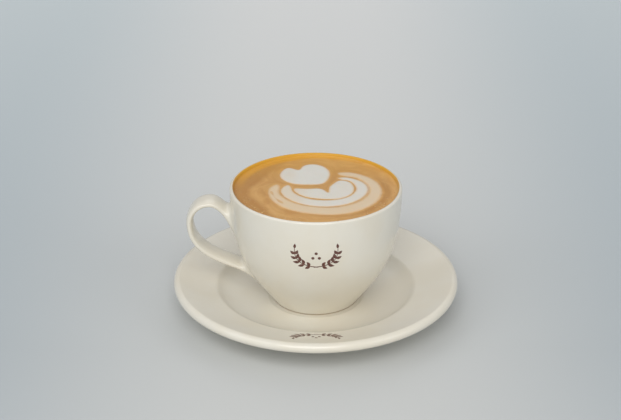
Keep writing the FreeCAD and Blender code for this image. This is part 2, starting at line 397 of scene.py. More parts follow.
# %% Saucer
recess_radius, recess_blend, well_level = 25.1, 2.4, 5.6
well, well_slope, well_turn = (53.6, 11.9), 32, 6.0
shoulder, shoulder_slope, shoulder_turn = (57.2, 13.65), 12, 1.62
lip_radius, lip_slope, lip_start, lip_end = 2.7, 18, 108, -100
saucer_wall, under_turn = 4.3, 3.6
foot_out, foot_in, foot_taper, foot_round, hollow = 48.1, 44.9, 0.8, 0.8, 1.9


def saucer_profile():
    """Profile (r, z) from the seat's middle, over the lip, to the underside."""
    bead = (saucer_radius - lip_radius, saucer_top - lip_radius)
    flange, under = slid(bead, lip_radius, lip_start), slid(bead, lip_radius, lip_end)
    pull = (flange[0] - shoulder[0]) / 3
    beneath = (bead[0] - 2 * lip_radius, shoulder[1] * 0.25 + flange[1] * 0.75 - saucer_wall)
    shelf, root = (shoulder[0], shoulder[1] - saucer_wall), (foot_out + foot_taper, seat)
    soft, edge = recess_radius + recess_blend / 2, recess_radius + recess_blend
    flat_out, flat_in = foot_out - foot_round, foot_in + foot_round
    return strung(
        straight((0, seat), (recess_radius, seat), 30),
        bezier([(recess_radius, seat), (soft, seat), (soft, well_level), (edge, well_level)], 10),
        bezier([(edge, well_level), (edge + (well[0] - edge) / 3, well_level),
                slid(well, -well_turn, well_slope), well], 44),
        bezier([well, slid(well, shoulder_turn, well_slope),
                slid(shoulder, -shoulder_turn, shoulder_slope), shoulder], 16),
        bezier([shoulder, slid(shoulder, pull, shoulder_slope), slid(flange, -pull, lip_slope), flange], 26),
        arc(bead, lip_radius, lip_start, lip_end, 40),
        bezier([under, (under[0] - lip_radius, under[1]), slid(beneath, lip_radius, lip_slope), beneath], 12),
        bezier([beneath, slid(beneath, -pull, lip_slope), slid(shelf, pull, shoulder_slope), shelf], 14),
        bezier([shelf, slid(shelf, -under_turn, shoulder_slope), (root[0] + 0.4, root[1] + 1.6), root], 14),
        straight(root, (foot_out, foot_round), 8),
        bezier([(foot_out, foot_round), (foot_out, 0), (flat_out, 0)], 6),
        straight((flat_out, 0), (flat_in, 0), 3),
        bezier([(flat_in, 0), (foot_in, 0), (foot_in, foot_round)], 6),
        bezier([(foot_in, foot_round), (foot_in, hollow), (foot_in - foot_round, hollow)], 5),
        straight((foot_in - foot_round, hollow), (0, hollow), 20),
    )


saucer_line = saucer_profile()
flange_line = saucer_line[:np.argmax(saucer_line[:, 1])]
saucer = piece("saucer_ware", [turned_part(saucer_line)], saucer_glaze)
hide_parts("saucer")

# %% [markdown]
# ## The cup's turned body
#
# The wall leaves the foot at a lean, swells quickly and then stands almost
# upright under a thin rounded rim. Outside and inside are two Bezier curves,
# far apart at the belly. The outside is kept as a function of height, because
# handle and print have to lie on it.

# %% Cup body
foot_radius, ring_inside, foot_edge, foot_hollow = 24.2, 21.0, 0.8, 1.6
wall_slope, foot_pull, outer_rim_pull, inner_rim_pull = 55, 21.0, 40.5, 42.5
belly_wall, floor_radius, floor_pull, rim_round = 4.9, 12.0, 14.0, 1.1
rim_centre = (rim_radius - rim_round, rim_top - rim_round)
wall_foot = (foot_radius, seat + foot_edge)
outside_poles = [wall_foot, slid(wall_foot, foot_pull, wall_slope),
                 (rim_radius, rim_centre[1] - outer_rim_pull), (rim_radius, rim_centre[1])]
inside_poles = [(rim_centre[0] - rim_round, rim_centre[1]),
                (rim_radius - belly_wall, rim_centre[1] - inner_rim_pull),
                (floor_radius + floor_pull, cup_floor), (floor_radius, cup_floor)]
outside = bezier(outside_poles, 400)
lean = np.gradient(outside[:, 0], outside[:, 1])
inside = bezier(inside_poles, 400)[::-1]


def wall(z):
    """Outside radius at height z, and the wall's slope there."""
    return np.interp(z, outside[:, 1], outside[:, 0]), np.interp(z, outside[:, 1], lean)


def cup_profile():
    """Profile (r, z) from under the foot, up the wall, over the rim, inside."""
    top, edge = seat + foot_hollow, seat + foot_edge
    return strung(
        straight((0, top), (ring_inside - foot_hollow, top), 8),
        bezier([(ring_inside - foot_hollow, top), (ring_inside, top), (ring_inside, edge)], 6),
        bezier([(ring_inside, edge), (ring_inside, seat), (ring_inside + foot_edge, seat)], 6),
        straight((ring_inside + foot_edge, seat), (foot_radius - foot_edge, seat), 3),
        bezier([(foot_radius - foot_edge, seat), (foot_radius, seat), wall_foot], 6),
        bezier(outside_poles, 90),
        arc(rim_centre, rim_round, 0, 180, 24),
        bezier(inside_poles, 60),
        straight((floor_radius, cup_floor), (0, cup_floor), 6),
    )


cup = piece("cup_ware", [turned_part(cup_profile(), 288)], cup_glaze)
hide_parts("cup")

# %% [markdown]
# ## The handle's path and section
#
# A pulled handle is a rounded strap, wider where it is pressed on. Its path
# has three Bezier stretches: up from the upper root to the crown, over to the
# outermost point, and back to the lower root. The section is a superellipse:
# a flat oval with full corners.

# %% Handle strap
handle_width, handle_thickness, section_power = 14.0, 3.9, 2.5
flare_width, flare_thickness, flare_start, flare_length = 3.6, 1.2, 5.0, 9.0
root_zone, root_step, strap_step = 16.0, 0.45, 1.1
crown = np.array([rim_radius + 11.1, rim_top - 9.1])
outermost = np.array([rim_radius + 22.5, rim_top - 20.9])
upper_root, lower_root = (np.array([wall(z)[0], z]) for z in (rim_top - 18.6, seat + 18.3))
strap_path = [
    [upper_root + (-3.34, -3.72), upper_root + (3.55, 3.94), crown + (-4.9, 0), crown],
    [crown, crown + (6.3, 0), outermost + (0, 6.5), outermost],
    [outermost, outermost + (0, -16.2), lower_root + (20.3, 7.0), lower_root + (-4.73, -1.63)],
]


def spacing(at, total):
    """Step along the strap: fine near both roots, coarser between them."""
    return np.where(np.minimum(at, total - at) < root_zone, root_step, strap_step)


def even_steps(points):
    """Points respaced along their own length by the spacing that holds there."""
    s = np.concatenate([[0], np.cumsum(np.linalg.norm(np.diff(points, axis=0), axis=1))])
    fine = np.linspace(0, s[-1], 4000)
    count = np.concatenate([[0], np.cumsum(np.diff(fine) / spacing(fine[1:], s[-1]))])
    stops = np.interp(np.linspace(0, count[-1], int(count[-1]) + 1), count, fine)
    return np.column_stack([np.interp(stops, s, points[:, n]) for n in range(points.shape[1])]), stops


def strap(around=72, power=section_power):
    """Superellipse |y/w|^p + |t/h|^p = 1 carried square to the path."""
    centre, s = even_steps(strung(*[bezier(poles, 300) for poles in strap_path]))
    _, out = heading_and_side(np.gradient(centre, s, axis=0))
    to_root = np.minimum(s, s[-1] - s)
    flare = np.clip(1 - (to_root - flare_start) / flare_length, 0, 1) ** 2
    half_width = (handle_width + flare_width * flare)[:, None] / 2
    half_height = (handle_thickness + flare_thickness * flare)[:, None] / 2
    a = angles_round(around)
    size = (abs(np.cos(a)) ** power + abs(np.sin(a)) ** power) ** (-1 / power)
    y, t = np.cos(a) * size * half_width, np.sin(a) * size * half_height
    grid = np.stack([centre[:, :1] + out[:, :1] * t, y, centre[:, 1:] + out[:, 1:] * t], -1)
    ny = np.sign(y) * abs(y / half_width) ** (power - 1) / half_width
    nt = np.sign(t) * abs(t / half_height) ** (power - 1) / half_height
    normal = np.stack([out[:, :1] * nt, ny, out[:, 1:] * nt], -1)
    return grid, normal / np.linalg.norm(normal, axis=-1)[..., None], centre


strap_grid, strap_normal, strap_centre = strap()
print("the strap has", len(strap_centre), "sections")

# %% [markdown]
# ## The handle, grown out of the wall
#
# The potter smooths the joint with a wet finger. So each point of the strap
# near the wall slides along the wall: if b is its distance to the wall, it
# moves off the strap by (sqrt k - sqrt b) squared. That parabola leaves strap
# and wall without a crease, which a Boolean with a bevel can't do so evenly.

# %% Handle
root_reach, least_share, root_spread, root_sink = 4.6, 0.35, 0.8, 0.06


def off_wall(p):
    """Distance of points from the outside wall, and the wall's normal there."""
    r = np.hypot(p[..., 0], p[..., 1])
    radius, slope = wall(p[..., 2])
    upright = 1 / np.sqrt(1 + slope**2)
    normal = np.stack([p[..., 0] / r * upright, p[..., 1] / r * upright, -slope * upright], -1)
    return (r - radius) * upright, normal


def grown_on(grid, normal, reach=root_reach):
    """Slides points along the wall by the parabola rule, then seats them."""
    b, wall_normal = off_wall(grid)
    along = normal - wall_normal * (normal * wall_normal).sum(-1)[..., None]
    share = np.maximum(np.linalg.norm(along, axis=-1), least_share)
    a = (math.sqrt(reach) - np.sqrt(np.clip(b, 0, reach))) ** 2 + np.clip(-b, 0, None) * root_spread
    moved = grid + along / share[..., None] ** 2 * a[..., None]
    near = (b < reach)[..., None]
    for _ in range(2):
        now, wall_normal = off_wall(moved)
        wanted = np.where(b > 0, b, root_sink * b)
        moved = np.where(near, moved - wall_normal * (now - wanted)[..., None], moved)
    return moved


strap_grid = grown_on(strap_grid, strap_normal)
strap_grid[..., 0] *= -1
upper_end, lower_end = ([0.5 - strap_centre[n, 0], 0, strap_centre[n, 1]] for n in (0, -1))
handle = piece("cup_handle", [(strap_grid, upper_end, lower_end)], cup_glaze)
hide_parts("cup")

# %% [markdown]
# ## The poured figure
#
# White foam is poured in layers, each pushing the last into a curved petal,
# and a heart is set on top. Heart and inner petal are given by a few points of
# their outline. The other petals, and a thread of crema in the outer one, are
# bands: points x, y and the half width there.

# %% Figure points
heart_points = [(-9.7, 25.7), (-14.7, 28.5), (-19.4, 22.6), (-18.7, 12.6), (-12.1, 5.9), (-4.0, 4.7),
                (3.0, 5.6), (7.2, 14.1), (6.6, 26.6), (-0.8, 33.8), (-7.2, 31.0)]
inner_points = [(6.6, -5.7), (3.6, -1.4), (-4.5, -0.8), (-11.9, -0.8), (-10.7, -5.7), (-4.6, -11.5),
                (5.0, -14.1), (14.7, -12.1), (20.3, -4.7), (20.7, 3.0), (18.1, 9.0), (13.7, 10.6),
                (9.7, 6.0), (7.4, 0.4)]
middle_stations = [(-15.7, 2.6, 1.6), (-16.1, -3.6, 3.1), (-11.7, -12.1, 3.6), (-3.4, -17.9, 3.8),
                   (6.0, -19.3, 3.9), (15.5, -16.5, 3.5), (22.3, -9.9, 3.2), (25.3, -1.0, 3.2),
                   (23.3, 7.6, 2.7), (18.5, 12.5, 1.9), (13.7, 13.7, 1.3)]
outer_stations = [(-21.9, 3.6, 1.5), (-23.1, -4.0, 2.7), (-19.9, -14.5, 3.5), (-12.1, -23.2, 4.0),
                  (-0.6, -27.8, 4.2), (12.1, -28.0, 4.3), (23.3, -22.0, 4.0), (30.9, -11.3, 3.5),
                  (32.6, 0.6, 3.2), (29.2, 10.8, 3.0), (22.1, 17.9, 2.7), (14.7, 20.1, 2.0)]
thread_stations = [(-24.6, -3.6, 0.10), (-23.4, -8.2, 0.30), (-21.1, -14.0, 0.34), (-17.6, -19.4, 0.10)]


def band(stations):
    """Outline of a band: its middle line plus and minus the half width."""
    s = np.asarray(stations, float)
    middle, half = s[:, :2], s[:, 2:]
    ahead = np.vstack([middle[1] - middle[0], middle[2:] - middle[:-2], middle[-1] - middle[-2]])
    heading, side = heading_and_side(ahead)
    tail, tip = middle[0] - heading[0] * half[0], middle[-1] + heading[-1] * half[-1]
    return np.vstack([[tail], middle + side * half, [tip], (middle - side * half)[::-1]])


print("the outer petal's outline goes through", len(band(outer_stations)), "points")

# %% [markdown]
# ## Smooth loops and how far off they are
#
# A cubic spline runs through each loop's points. The drink's surface needs no
# vertex on the edge of the figure: each vertex carries its signed distance to
# the loops, and the finish draws the edge where that is zero, crisp at any
# size.

# %% Figure outlines
def smooth_loop(points, steps=12):
    """Closed cubic spline through the points, curvature equal across each."""
    p = np.asarray(points, float)
    count = len(p)
    after = np.roll(p, -1, 0)
    h = np.linalg.norm(after - p, axis=1)
    before = np.roll(h, 1)
    matrix = np.diag(2 * (h + before))
    n = np.arange(count)
    matrix[n, (n + 1) % count] += h
    matrix[n, (n - 1) % count] += before
    slope = (after - p) / h[:, None]
    bend = np.linalg.solve(matrix, 6 * (slope - np.roll(slope, 1, 0)))
    t = np.linspace(0, 1, steps, endpoint=False)[None, :, None]
    next_bend = np.roll(bend, -1, 0)
    curved = ((1 - t)**3 - (1 - t)) * bend[:, None] + (t**3 - t) * next_bend[:, None]
    return ((1 - t) * p[:, None] + t * after[:, None] + (h**2 / 6)[:, None, None] * curved).reshape(-1, 2)


def signed_distance(plan, loop):
    """Least distance to the loop's edges, positive inside by ray crossings."""
    a, b = loop, np.roll(loop, -1, 0)
    edge = b - a
    found = []
    for block in np.array_split(plan, len(plan) // 4000 + 1):
        way = block[:, None] - a
        t = np.clip((way * edge).sum(-1) / (edge**2).sum(-1), 0, 1)
        least = np.linalg.norm(way - edge * t[..., None], axis=-1).min(1)
        crosses = (a[:, 1] > block[:, None, 1]) != (b[:, 1] > block[:, None, 1])
        rise = np.where(edge[:, 1] == 0, 1e-9, edge[:, 1])
        left = block[:, None, 0] < a[:, 0] + edge[:, 0] * way[..., 1] / rise
        found.append(least * np.where((crosses & left).sum(1) % 2 == 1, 1, -1))
    return np.concatenate(found)


outlines = {"heart": heart_points, "inner": inner_points, "middle": band(middle_stations),
            "outer": band(outer_stations), "thread": band(thread_stations)}
loops = {name: smooth_loop(points) for name, points in outlines.items()}
print("outline points:", {name: len(loop) for name, loop in loops.items()})

# %% [markdown]
# ## Crema and foam, side by side
#
# The crema is golden brown, satin, streaked along the way the foam pushed it,
# with tiny bubbles near the wall. The foam is white with a cream edge. One
# finish mixes them by the signed distances, read from the mesh.

# %% Crema and foam colours
crema_gold, crema_pale, crema_streak, crema_pool = (
    tone(203, 152, 87), tone(215, 168, 103), tone(200, 148, 77), tone(178, 125, 60))
bubble_dark, bubble_pale = tone(142, 92, 46), tone(232, 204, 164)
foam_white, foam_shade, foam_tan = tone(223, 221, 214), tone(221, 218, 209), tone(224, 190, 141)
# Orange of the painted reflection of crema in the glaze, also a golden crema tint
orange_reflection_and_tint = tone(222, 163, 54)
thread_strength = 0.60


def attribute(tree, name, out=2):
    """A value carried by the mesh: out is 2 for a number, 1 for a vector."""
    return add(tree, "ShaderNodeAttribute", out=out, attribute_name=name)


def poured_foam(tree, ragged):
    """Foam from 0 to 1: the largest of the four shapes, less the thread."""
    inner, middle, outer = coordinates(tree, attribute(tree, "petals", 1))
    foam = attribute(tree, "veil")
    for within, low, high in ((attribute(tree, "heart"), -0.45, 0.50), (inner, -0.34, 0.40),
                              (middle, -0.40, 0.46), (outer, -0.75, 0.90)):
        foam = maths(tree, "MAXIMUM", foam, ramp(tree, maths(tree, "ADD", within, ragged), low, high))
    within = maths(tree, "ADD", attribute(tree, "thread"), ragged)
    return maths(tree, "MULTIPLY", foam, ramp(tree, within, -0.45, 0.30, 1.0, 1 - thread_strength))


def crema_colour(tree, place, pits):
    """Golden brown, streaked along the flow, darker where shade says so."""
    flow = attribute(tree, "flow", 1)
    broad = ramp(tree, noise(tree, flow, 1.9, 3, 0.5, 0.7), 0.36, 0.64)
    fine = ramp(tree, noise(tree, flow, 5.0, 3, 0.55, 0.3), 0.45, 0.80, 0.0, 0.20)
    crema = blended(tree, broad, crema_gold, crema_pale)
    crema = blended(tree, fine, crema, crema_streak)
    crema = blended(tree, attribute(tree, "shade"), crema, crema_pool)
    bubble = blended(tree, ramp(tree, noise(tree, place, 420, 1), 0.46, 0.54), bubble_dark, bubble_pale)
    return blended(tree, maths(tree, "MULTIPLY", pits, 0.75), crema, bubble)


def foam_colour(tree, place):
    """White that clouds a little, tan where tint says that crema mixed in."""
    cloud = ramp(tree, noise(tree, place, 110, 3, 0.5), 0.3, 0.8)
    return blended(tree, attribute(tree, "tint"), blended(tree, cloud, foam_white, foam_shade), foam_tan)


print("the thread takes away", thread_strength, "of the foam")

# %% [markdown]
# ## The drink's finish
#
# Pits are burst bubbles: round cells, only where froth gathers. Orange is
# painted reflection of the crema in the glaze, on the rim and near the back
# wall, and elsewhere a golden tint of the crema. Light enters milk a little
# way, hence the weak subsurface share. Foam swells, pits sink, and a fine
# grain lies on both.

# %% Drink finish
def burst_bubbles(tree, place):
    """Pits from 0 to 1: round cells, times patches of noise, times froth."""
    cells = tree.nodes.new("ShaderNodeTexVoronoi")
    fill(tree, cells, {"Vector": place, "Scale": 1150.0})
    cell = ramp(tree, cells.outputs["Distance"], 0.05, 0.42, 1.0, 0.0)
    patch = ramp(tree, noise(tree, place, 150, 3), 0.47, 0.60)
    return maths(tree, "MULTIPLY", maths(tree, "MULTIPLY", cell, patch), attribute(tree, "froth"))


def drink_finish():
    """Crema where foam is 0, foam where it is 1, orange painted reflection and tint on top."""
    plain = {"IOR": 1.35, "Subsurface Weight": 0.15, "Subsurface Radius": (0.0016, 0.0010, 0.0006),
             "Subsurface Scale": 1.0}
    finish, tree, place, surface = new_finish("crema_and_foam", plain)
    wobble = maths(tree, "SUBTRACT", noise(tree, place, 420, 3, 0.6), 0.5)
    foam = poured_foam(tree, maths(tree, "MULTIPLY", wobble, 0.55))
    pits = burst_bubbles(tree, place)
    colour = blended(tree, foam, crema_colour(tree, place, pits), foam_colour(tree, place))
    # Painted reflection of the crema in the glaze, mixed in as orange
    colour = blended(tree, attribute(tree, "reflection_and_tint"), colour, orange_reflection_and_tint)
    swell = relief(tree, foam, 0.00012, 0.5)
    micro = relief(tree, noise(tree, place, 1900, 2, 0.6), 0.00005, 0.30, swell)
    holes = relief(tree, maths(tree, "MULTIPLY", pits, -1.0), 0.00012, 0.6, micro)
    dressed(tree, surface, colour, ramp(tree, foam, 0, 1, 0.30, 0.42), holes)
    print("finish crema_and_foam has", len(tree.nodes), "nodes")
    return finish


crema_and_foam = drink_finish()

# %% [markdown]
# ## The drink's surface
#
# The surface is a disc of rings, a little higher in the middle, that climbs
# the wall in a small meniscus. Above it, a thin sheet on the rim only carries
# painted reflection. Below, it follows the cup's inside to the floor. Foam
# stands a tenth of a millimetre higher than crema, so the distances that
# colour it also lift it.

# %% Drink surface
crown_rise, crown_radius, climb_radius, climb = 0.5, 17.4, 43.4, 0.9
level, around = crown_top - crown_rise, 480
# Reach up the rim and thickness of the sheet that only carries painted reflection
reflection_front, reflection_back, reflection_sheet_thickness, sunk = 34, 84, 0.05, 0.12
foam_lift = 0.12
azimuth = angles_round(around)


def rises(v, start, end):
    """S curve 3 t^2 - 2 t^3, from 0 at start to 1 at end, which may be lower."""
    t = np.clip((v - start) / (end - start), 0, 1)
    return t**2 * (3 - 2 * t)


def drink_profile():
    """Profile (r, z): crown, level and meniscus; then down inside the wall."""
    crown = bezier([(0, level + crown_rise), (crown_radius, level + crown_rise),
                    (climb_radius - 13, level), (climb_radius, level)], 400)
    r = np.linspace(0.5, climb_radius, 88)
    top = np.column_stack([r, np.interp(r, crown[:, 0], crown[:, 1])])
    rim_side = rim_centre[0] - rim_round
    meniscus = bezier([(climb_radius, level), (climb_radius + 1, level),
                       (rim_side - 0.13, level + 0.4), (rim_side - 0.08, level + climb)], 8)
    down = np.linspace(level + climb - 0.05, cup_floor + 0.1, 26)
    hidden = np.column_stack([np.interp(down, inside[:, 1], inside[:, 0]) + sunk, down])
    return strung(top, meniscus), hidden


def reflection_sheet_on_rim(share, thick):
    """Rows of the sheet for painted reflection up the rim's inner round: its arc, taken further at the back.
    """
    reach = reflection_front + (reflection_back - reflection_front) * rises(np.sin(azimuth), -0.55, 0.35)
    a = np.radians(180 - np.asarray(share)[:, None] * reach)
    radius = rim_round + np.asarray(thick)[:, None]
    return placed(rim_centre[0] + radius * np.cos(a), azimuth, rim_centre[1] + radius * np.sin(a))


shown, hidden = drink_profile()
rising = reflection_sheet_on_rim(np.linspace(0, 1, 10), np.linspace(reflection_sheet_thickness, 0.0, 10))
returning = reflection_sheet_on_rim(np.linspace(0.97, 0, 6), np.full(6, -sunk))
grid = np.concatenate([turned(shown, around), rising, returning, turned(hidden, around)])
plan = grid[..., :2].reshape(-1, 2)
row = np.arange(len(plan)) // around
on_top, on_meniscus = row < len(shown), row >= len(shown) - 9
distance = {name: signed_distance(plan, loop) for name, loop in loops.items()}
thread = distance.pop("thread")
figure = np.max(list(distance.values()), axis=0)
grid[..., 2] += (foam_lift * rises(figure, -0.5, 1.1) * ~on_meniscus).reshape(grid.shape[:2])
print("drink grid of", grid.shape[0], "rows by", around)

# %% [markdown]
# ## How the crema lies
#
# Each quantity is a smooth function of the place on the surface. Crema flows
# round the figure, so its streaks follow the distance from it and the turn
# about it. A dark halo lies round the figure, a dark pool to the left, and
# froth gathers in front.

# %% Crema quantities
x, y = plan.T
from_axis = np.hypot(x, y)
away = np.clip(-figure, 0, None)
turn = np.arctan2(y + 4, x - 5)
flow = np.column_stack([away / 8.0, 1.5 * np.cos(turn), 1.5 * np.sin(turn)])
halo = rises(away, 0.6, 2.2) * rises(away, 5.5, 2.0)
bowed = x - 0.5 * np.clip(y, 0, None) - 0.5 * np.clip(-y - 8, 0, None)
left_pool = rises(bowed, -33, -39)
right_arc = rises(x, 12, 26) * rises(away, 0.4, 2.4) * rises(away, 7.5, 4.5) * rises(y, 16, 2)
shade = np.clip(0.75 * left_pool + 0.36 * right_arc + 0.28 * halo, 0, 1)
froth = rises(from_axis, 32, 42) * (0.35 + 0.65 * rises(y, 4, -16))
print("mean shade of the crema", round(float(shade[on_top].mean()), 3))

# %% [markdown]
# ## How the foam is tinted
#
# The first and widest petal has taken up most crema, so it is tan. All edges
# glow cream, tips thin out, and a veil of foam is left between the two outer
# petals where they touch, with one smear beyond them.

# %% Foam quantities
glow = rises(figure, 1.5, 0) * (figure > 0)
outer_tint = (0.68 - 0.04 * rises(x, 14, 30)) * rises(distance["outer"], -0.5, 0.5)
tips = np.where(distance["heart"] < 0, 0.08, 0.16 * rises(x, -9, -15))
tips += 0.26 * rises(x, -1, -13) * rises(y, 5, 1)
tips += 0.55 * rises(np.hypot(x - 12.5, y - 14.0), 4.5, 0)
tint = np.clip(np.maximum(0.55 * glow, np.maximum(outer_tint, tips) + 0.30 * glow), 0, 1)
touching = [np.clip(1 + distance[name] / 1.6, 0, 1) for name in ("middle", "outer")]
veil = touching[0] * touching[1] * (0.12 + 0.62 * rises(x, 2, 16) * rises(y, 14, 4))
smear = rises(np.hypot((x - 15.5 - 0.4 * (y + 29)) / 3.6, (y + 29.4) / 2.4), 1, 0)
veil = np.maximum(veil, 0.75 * smear)
print("mean tint of the foam", round(float(tint[figure > 0].mean()), 3))

# %% [markdown]
# ## Where orange reflection is painted
#
# Painted reflection of the crema in the glaze is strongest on the wall and
# rim at the back, weaker at the sides, and lies on the crema along the back
# wall. Behind the figure the crema itself is more golden, and one narrow
# streak runs from the wall towards the heart.

# %% Painted reflection and tint quantities
back = rises(y, -4, 24)
# Painted reflection on the wall and rim above the meniscus, stronger at the back
wall_reflection = rises(row, len(shown) - 7, len(shown) + 1) * (0.25 + 0.75 * back) * on_meniscus
# Painted reflection on the crema near the back wall
near_wall_reflection = back * (0.80 - 0.44 * rises(x, 8, 28)) * rises(from_axis + 1.8 * rises(x, 0, -20), 40.0, 44.5)
golden = 0.27 * rises(y, 6, 30) * rises(away, 0, 1.2)
streak = 0.55 * rises(abs(x + 9.0 - 0.10 * (y - 30)), 1, 0) * rises(y, 27, 30)
reflection_and_tint = np.maximum(wall_reflection, np.max([near_wall_reflection, golden, streak], axis=0) * on_top)
print("vertices with film:", int((reflection_and_tint > 0.02).sum()), "of", len(reflection_and_tint))

# %% [markdown]
# ## The drink as a piece
#
# The quantities go into the mesh as attributes. The last two vertices, which
# close the grid, take the first and the last value. This piece stands in for
# the drink and the four foam shapes inlaid in it.

# %% The drink
def carried(made, name, values):
    """Puts a number or a vector for each vertex into the mesh."""
    kind, key = ("FLOAT", "value") if values.ndim == 1 else ("FLOAT_VECTOR", "vector")
    layer = made.data.attributes.new(name, kind, "POINT")
    layer.data.foreach_set(key, values.astype(np.float32).ravel())


top_middle, floor_middle = ([0, 0, z] for z in (shown[0, 1], hidden[-1, 1]))
drink = piece("coffee_and_foam", [(grid, top_middle, floor_middle)], crema_and_foam)
petals = np.column_stack([distance[name] for name in ("inner", "middle", "outer")])
quantities = {"heart": distance["heart"], "petals": petals, "thread": thread, "veil": veil, "tint": tint,
              "flow": flow, "shade": shade, "froth": froth, "reflection_and_tint": reflection_and_tint}
for name, values in quantities.items():
    carried(drink, name, np.concatenate([values, values[:1], values[-1:]]))
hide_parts("drink", "foam_heart", "foam_petal_inner", "foam_petal_middle", "foam_petal_outer")

# %% [markdown]
# ## Where the bubbles drift
#
# Small bubbles drift to the wall and stay there, most of them in two crowds
# at the front. Places and sizes are drawn from one seed, so each run gives the
# same. A bubble is kept if it clears the others.

# %% Bubble places
bubble_count, bubble_seed, bubble_gap = 110, 11, 0.03
smallest, growth, wall_reach, wall_spread = 0.24, 0.42, 44.3, 1.5


def scattered(count, seed):
    """Rows x, y, radius: two crowds and a few strays, none touching."""
    dice = np.random.default_rng(seed)
    crowd = dice.choice(3, count * 4, p=[0.42, 0.38, 0.20])
    degrees = np.choose(crowd, [dice.normal(228, 15, count * 4), dice.normal(312, 13, count * 4),
                                dice.uniform(180, 360, count * 4)])
    size = smallest + growth * dice.random(count * 4) ** 2.5
    reach = wall_reach - size - abs(dice.normal(0, wall_spread, count * 4))
    a = np.radians(degrees)
    tries = np.column_stack([reach * np.cos(a), reach * np.sin(a), size])
    kept = tries[:1]
    for new in tries[1:]:
        gap = np.hypot(*(kept[:, :2] - new[:2]).T) - kept[:, 2] - new[2]
        if gap.min() > bubble_gap and len(kept) < count:
            kept = np.vstack([kept, new])
    return kept


crowd = scattered(bubble_count, bubble_seed)
print(len(crowd), "bubbles, radius", crowd[:, 2].min().round(2), "to", crowd[:, 2].max().round(2), "mm")

# %% [markdown]
# ## Bubbles against the wall
#
# Each bubble is a low dome that closes under the surface, and all are one
# mesh. The skin is crema, with painted shade at the foot and a painted
# highlight on top.

# %% Bubbles
dome_sides, dome_rows, dome_end, dome_height, dome_sink = 12, 5, 75, 0.62, 0.15
# Painted shade at a bubble's foot and painted highlight on its top
painted_shade_foot, painted_highlight_top = tone(166, 114, 58), tone(222, 182, 126)
dome_angles = np.radians(np.linspace(0, dome_end, dome_rows))


def dome(middle, radius):
    """Dome: radius times cos t wide and 0.62 sin t high, t from 0 to 75 degrees."""
    t = dome_angles[:, None]
    high = dome_height * radius
    dome_grid = placed(radius * np.cos(t), angles_round(dome_sides), high * np.sin(t))
    return dome_grid + middle, middle - [0, 0, dome_sink * radius], middle + [0, 0, high]


def bubble_skin():
    """Painted shade low on the dome and a painted highlight high, and gloss, by height and fine noise."""
    finish, tree, place, surface = new_finish("bubble_skin", {"IOR": 1.34})
    broken = maths(tree, "MULTIPLY", noise(tree, place, 3000, 2), 0.2)
    rise = maths(tree, "ADD", attribute(tree, "rise"), broken)
    # Painted shade at the foot, painted highlight on top
    skin = blended(tree, ramp(tree, rise, 0.2, 1.0), painted_shade_foot, painted_highlight_top)
    wrinkles = relief(tree, noise(tree, place, 5000, 2), 0.00001, 0.3)
    dressed(tree, surface, skin, ramp(tree, rise, 0.0, 1.0, 0.16, 0.08), wrinkles)
    return finish


crowd_z = np.interp(np.hypot(crowd[:, 0], crowd[:, 1]), shown[:, 0], shown[:, 1])
domes = [dome(np.array([x0, y0, z0]), r0) for (x0, y0, r0), z0 in zip(crowd, crowd_z)]
bubbles = piece("bubbles", domes, bubble_skin())
one_dome = np.concatenate([np.repeat(np.sin(dome_angles), dome_sides), [0.0, 1.0]])
carried(bubbles, "rise", np.tile(one_dome, len(domes)))

# %% [markdown]
# ## Strokes of a print
#
# Hotel ware often carries a small one-colour transfer, fired into the glaze.
# Each stroke is a flat closed lens carried along a line drawn on the ware:
# s millimetres round it, h millimetres up its slope. A leaf and a berry
# differ in how the half width changes along it.

# %% Print strokes
print_thickness, flange_middle = 0.05, 65.0


def leaf(root, angle, length, width, bend, steps=18):
    """Leaf in the plane: a bowed middle line, half width times sin(pi t^0.8)."""
    t = np.linspace(0.02, 0.98, steps)[:, None]
    a = math.radians(angle)
    ahead, side = np.array([math.cos(a), math.sin(a)]), np.array([-math.sin(a), math.cos(a)])
    line = np.asarray(root, float) + ahead * length * t + side * bend * length * 4 * t * (1 - t)
    return line, width / 2 * np.sin(np.pi * t[:, 0] ** 0.8) + 0.03


def berry(middle, radius, steps=16):
    """Round spot: half width is the root of radius squared minus s squared."""
    s = radius * np.sin(np.linspace(-1.5, 1.5, steps))[:, None]
    return np.asarray(middle, float) + s * [0.0, 1.0], np.sqrt(radius**2 - s[:, 0]**2)


def stroke(line, half, onto, around=10):
    """Lens section carried along the line, laid on the ware by onto(s, h)."""
    _, side = heading_and_side(np.gradient(line, axis=0))
    a = angles_round(around)
    flat = line[:, None] + side[:, None] * (half[:, None] * np.cos(a))[..., None]
    grid = onto(flat, print_thickness * np.sin(a) * np.ones((len(line), 1)))
    first, last = (onto(line[n][None, None], np.zeros((1, 1)))[0, 0] for n in (0, -1))
    return grid, first, last


def on_cup(flat, proud):
    """(s, h) to the cup's front wall: angle s / r from the front, height h."""
    r, slope = wall(flat[..., 1])
    a = flat[..., 0] / r - np.pi / 2
    upright = 1 / np.sqrt(1 + slope**2)
    return placed(r + proud * upright, a, flat[..., 1] - proud * slope * upright)


def on_flange(flat, proud):
    """(s, h) to the saucer's flange, h millimetres out from its middle radius."""
    r = flange_middle + flat[..., 1]
    a = flat[..., 0] / flange_middle - np.pi / 2
    return placed(r, a, np.interp(r, flange_line[:, 0], flange_line[:, 1]) + proud)


print("a leaf 3 mm long is", (2 * leaf((0, 0), 0, 3, 1.7, 0.1)[1].max()).round(2), "mm wide")

# %% [markdown]
# ## A printed sprig
#
# Two leafy boughs curve up from one stem, with three berries between them.
# Brown ink fires unevenly, so it is mottled. The same drawing is laid on the
# cup's front and, flatter, on the saucer's flange.

